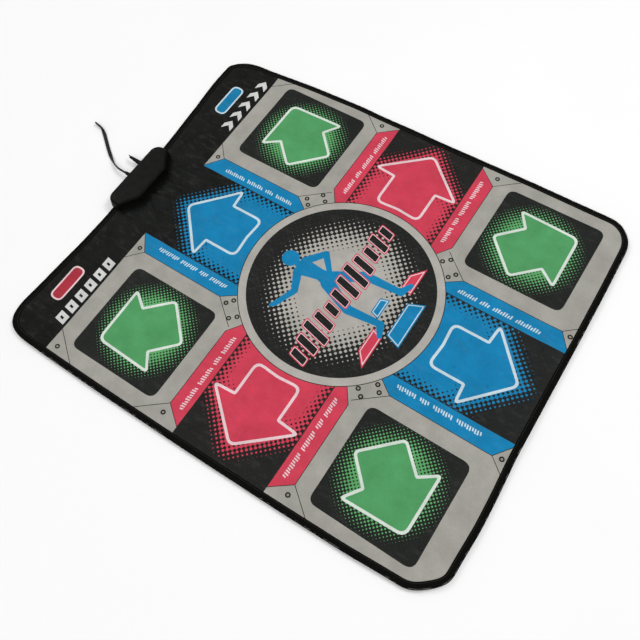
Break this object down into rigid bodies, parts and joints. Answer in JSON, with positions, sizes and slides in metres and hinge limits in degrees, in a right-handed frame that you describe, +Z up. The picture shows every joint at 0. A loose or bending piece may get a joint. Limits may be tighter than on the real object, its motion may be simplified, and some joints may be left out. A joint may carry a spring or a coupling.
{
  "type": "dance mat",
  "caption": "Soft foldable dance mat with printed arrow step zones round a stage disc, a bound edge, a control box on the rear edge and short leads.",
  "frame": {"origin": "on the flat underside, below the centre of the printed stage disc", "axes": "+Z up, +Y from the player's side towards the control box, +X to the player's right when facing the box"},
  "size_m": [0.81, 1.1245, 0.025],
  "materials": {
    "cover_print": "satin",
    "backing_fabric": "matte",
    "film": "satin",
    "carbon": "matte",
    "foam": "matte",
    "binding_tape": "matte",
    "box_plastic": "satin",
    "screw_steel": "satin",
    "board": "satin",
    "black_rubber": "matte",
    "epoxy": "gloss",
    "blue_plastic": "gloss",
    "tan_plastic": "satin",
    "can_metal": "satin",
    "wire_plastic": "satin",
    "lead_plastic": "satin"
  },
  "bodies": {
    "mat": {"backing": "backing_fabric", "lower_film": "film", "lower_contacts": "carbon", "foam_spacer": "foam", "upper_film": "film", "printed_cover": "cover_print", "edge_binding": "binding_tape", "box_top_shell": "box_plastic", "box_base": "box_plastic", "box_screws": "screw_steel", "control_board": "board", "board_screws": "screw_steel", "pressure_strip": "black_rubber", "chip_blobs": "epoxy", "resonator": "blue_plastic", "resistors": "tan_plastic", "capacitor": "can_metal", "board_wires": "wire_plastic", "strain_relief_long": "black_rubber", "strain_relief_short": "black_rubber", "lead_long": "lead_plastic", "lead_short": "lead_plastic"},
    "press_up": {"pad_up": "cover_print", "contact_up": "carbon"},
    "press_down": {"pad_down": "cover_print", "contact_down": "carbon"},
    "press_left": {"pad_left": "cover_print", "contact_left": "carbon"},
    "press_right": {"pad_right": "cover_print", "contact_right": "carbon"},
    "press_up_left": {"pad_up_left": "cover_print", "contact_up_left": "carbon"},
    "press_up_right": {"pad_up_right": "cover_print", "contact_up_right": "carbon"},
    "press_down_left": {"pad_down_left": "cover_print", "contact_down_left": "carbon"},
    "press_down_right": {"pad_down_right": "cover_print", "contact_down_right": "carbon"},
    "press_select": {"pad_select": "cover_print", "contact_select": "carbon"},
    "press_start": {"pad_start": "cover_print", "contact_start": "carbon"}
  },
  "joints": [
    {"name": "press_up", "type": "slide", "parent": "mat", "child": "press_up", "axis": [0, 0, -1], "range_m": [0, 0.0024], "stiffness_N_per_m": 4000},
    {"name": "press_down", "type": "slide", "parent": "mat", "child": "press_down", "axis": [0, 0, -1], "range_m": [0, 0.0024], "stiffness_N_per_m": 4000},
    {"name": "press_left", "type": "slide", "parent": "mat", "child": "press_left", "axis": [0, 0, -1], "range_m": [0, 0.0024], "stiffness_N_per_m": 4000},
    {"name": "press_right", "type": "slide", "parent": "mat", "child": "press_right", "axis": [0, 0, -1], "range_m": [0, 0.0024], "stiffness_N_per_m": 4000},
    {"name": "press_up_left", "type": "slide", "parent": "mat", "child": "press_up_left", "axis": [0, 0, -1], "range_m": [0, 0.0024], "stiffness_N_per_m": 4000},
    {"name": "press_up_right", "type": "slide", "parent": "mat", "child": "press_up_right", "axis": [0, 0, -1], "range_m": [0, 0.0024], "stiffness_N_per_m": 4000},
    {"name": "press_down_left", "type": "slide", "parent": "mat", "child": "press_down_left", "axis": [0, 0, -1], "range_m": [0, 0.0024], "stiffness_N_per_m": 4000},
    {"name": "press_down_right", "type": "slide", "parent": "mat", "child": "press_down_right", "axis": [0, 0, -1], "range_m": [0, 0.0024], "stiffness_N_per_m": 4000},
    {"name": "press_select", "type": "slide", "parent": "mat", "child": "press_select", "axis": [0, 0, -1], "range_m": [0, 0.0024], "stiffness_N_per_m": 1500},
    {"name": "press_start", "type": "slide", "parent": "mat", "child": "press_start", "axis": [0, 0, -1], "range_m": [0, 0.0024], "stiffness_N_per_m": 1500}
  ]
}
